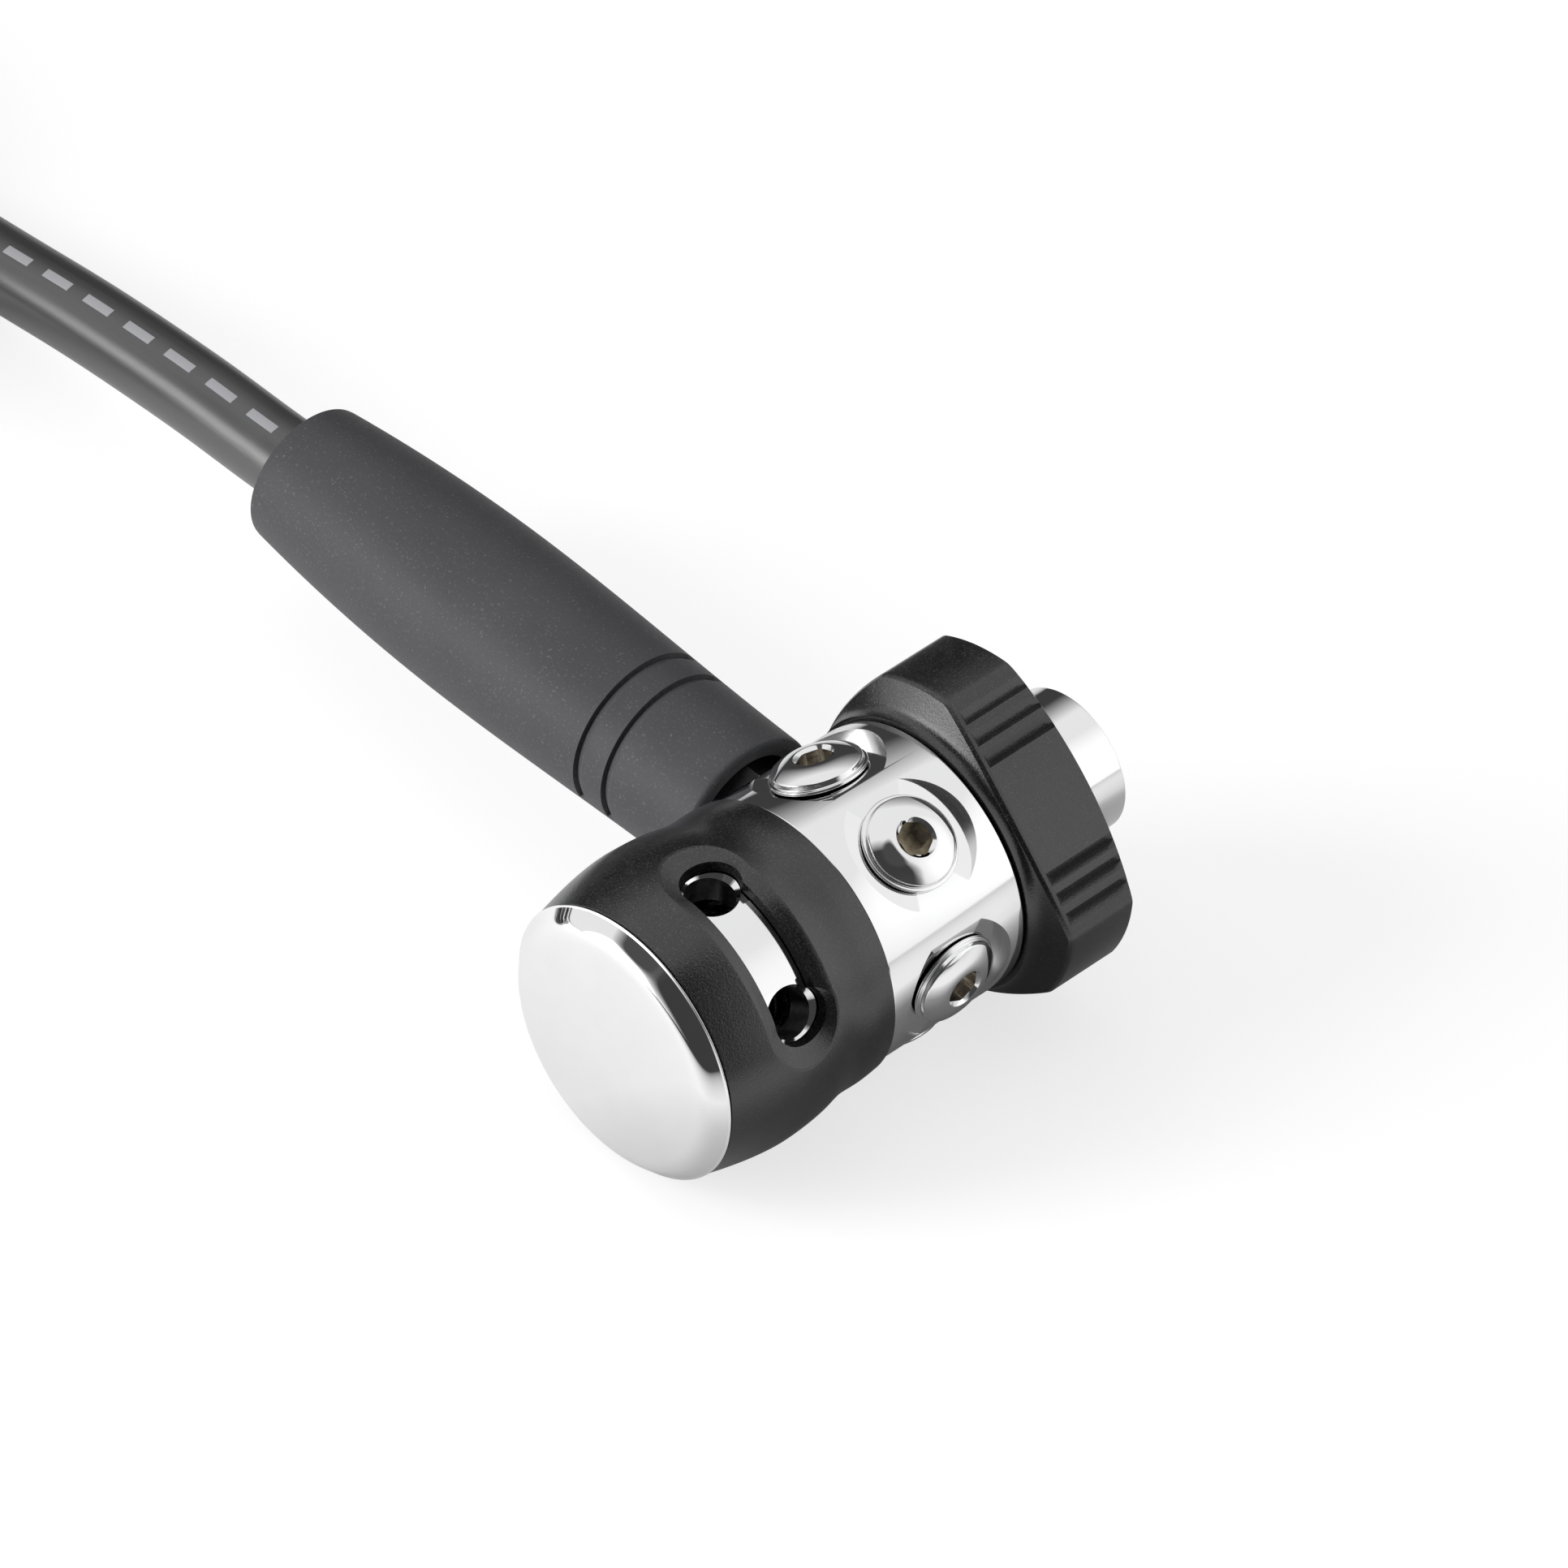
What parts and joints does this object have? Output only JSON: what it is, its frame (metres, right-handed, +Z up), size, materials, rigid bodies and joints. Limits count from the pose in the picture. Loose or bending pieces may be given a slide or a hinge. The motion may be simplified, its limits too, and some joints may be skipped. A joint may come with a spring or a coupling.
{
  "type": "scuba regulator first stage",
  "caption": "Scuba regulator first stage: chrome ported body, black windowed collar, lobed handwheel, and one low-pressure hose with a rubber protector and a coiled spare length",
  "frame": {"origin": "on the table, below the middle of the first stage's own box without the hose", "axes": "+Z up; +Y along the body's axis from the domed cap to the inlet; +X to the right seen from the cap; the hose leaves towards -X"},
  "size_m": [0.346, 0.1793, 0.0476],
  "materials": {
    "chrome": "polished, mirror bright, faint turning marks",
    "black_plastic": "satin, fine moulded grain",
    "protector_rubber": "matte, fine speckle",
    "hose_rubber": "semi-gloss",
    "seal_rubber": "smooth",
    "brass": "machined",
    "sintered_bronze": "grainy",
    "spring_steel": "drawn wire",
    "white_plastic": "machined",
    "tie_fabric": "woven hook-and-loop band"
  },
  "bodies": {
    "first_stage": {"main_body": "chrome", "end_cap": "chrome", "port_plug_1": "chrome", "port_plug_2": "chrome", "port_plug_3": "chrome", "port_plug_4": "chrome", "port_plug_5": "chrome", "hose_fitting": "chrome", "hose_ferrule": "chrome", "inlet_stem": "chrome", "far_ferrule": "chrome", "far_stem": "chrome", "collar": "black_plastic", "hose_protector": "protector_rubber", "hose_run": "hose_rubber", "hose_coil": "hose_rubber", "cap_o_ring": "seal_rubber", "piston_stem_o_ring": "seal_rubber", "inlet_stem_o_ring": "seal_rubber", "inlet_face_o_ring": "seal_rubber", "plug_o_ring_1": "seal_rubber", "plug_o_ring_2": "seal_rubber", "plug_o_ring_3": "seal_rubber", "plug_o_ring_4": "seal_rubber", "plug_o_ring_5": "seal_rubber", "hose_fitting_o_ring": "seal_rubber", "far_stem_o_ring": "seal_rubber", "orifice_crown": "brass", "filter": "sintered_bronze", "main_spring": "spring_steel", "spring_shim": "spring_steel", "filter_clip": "spring_steel", "handwheel_washer": "white_plastic", "coil_tie": "tie_fabric"},
    "handwheel": {"handwheel_grip": "black_plastic", "handwheel_core": "chrome"},
    "piston_group": {"piston": "brass", "piston_seat": "white_plastic", "piston_head_o_ring": "seal_rubber"},
    "hose_nut": {"swivel_nut": "chrome"}
  },
  "joints": [
    {"name": "handwheel_spin", "type": "hinge", "parent": "first_stage", "child": "handwheel", "pos_m": [-0.00147, 0.0217, 0.02245], "axis": [0, 1, 0], "continuous": true},
    {"name": "piston_travel", "type": "slide", "parent": "first_stage", "child": "piston_group", "axis": [0, 1, 0], "range_m": [0, 0.0013], "stiffness_N_per_m": 2000, "springref_m": -0.002, "deforming": ["main_spring"]},
    {"name": "swivel_nut_spin", "type": "hinge", "parent": "first_stage", "child": "hose_nut", "pos_m": [-0.2092, -0.1163, 0.0226], "axis": [1, 0, 0], "continuous": true}
  ]
}
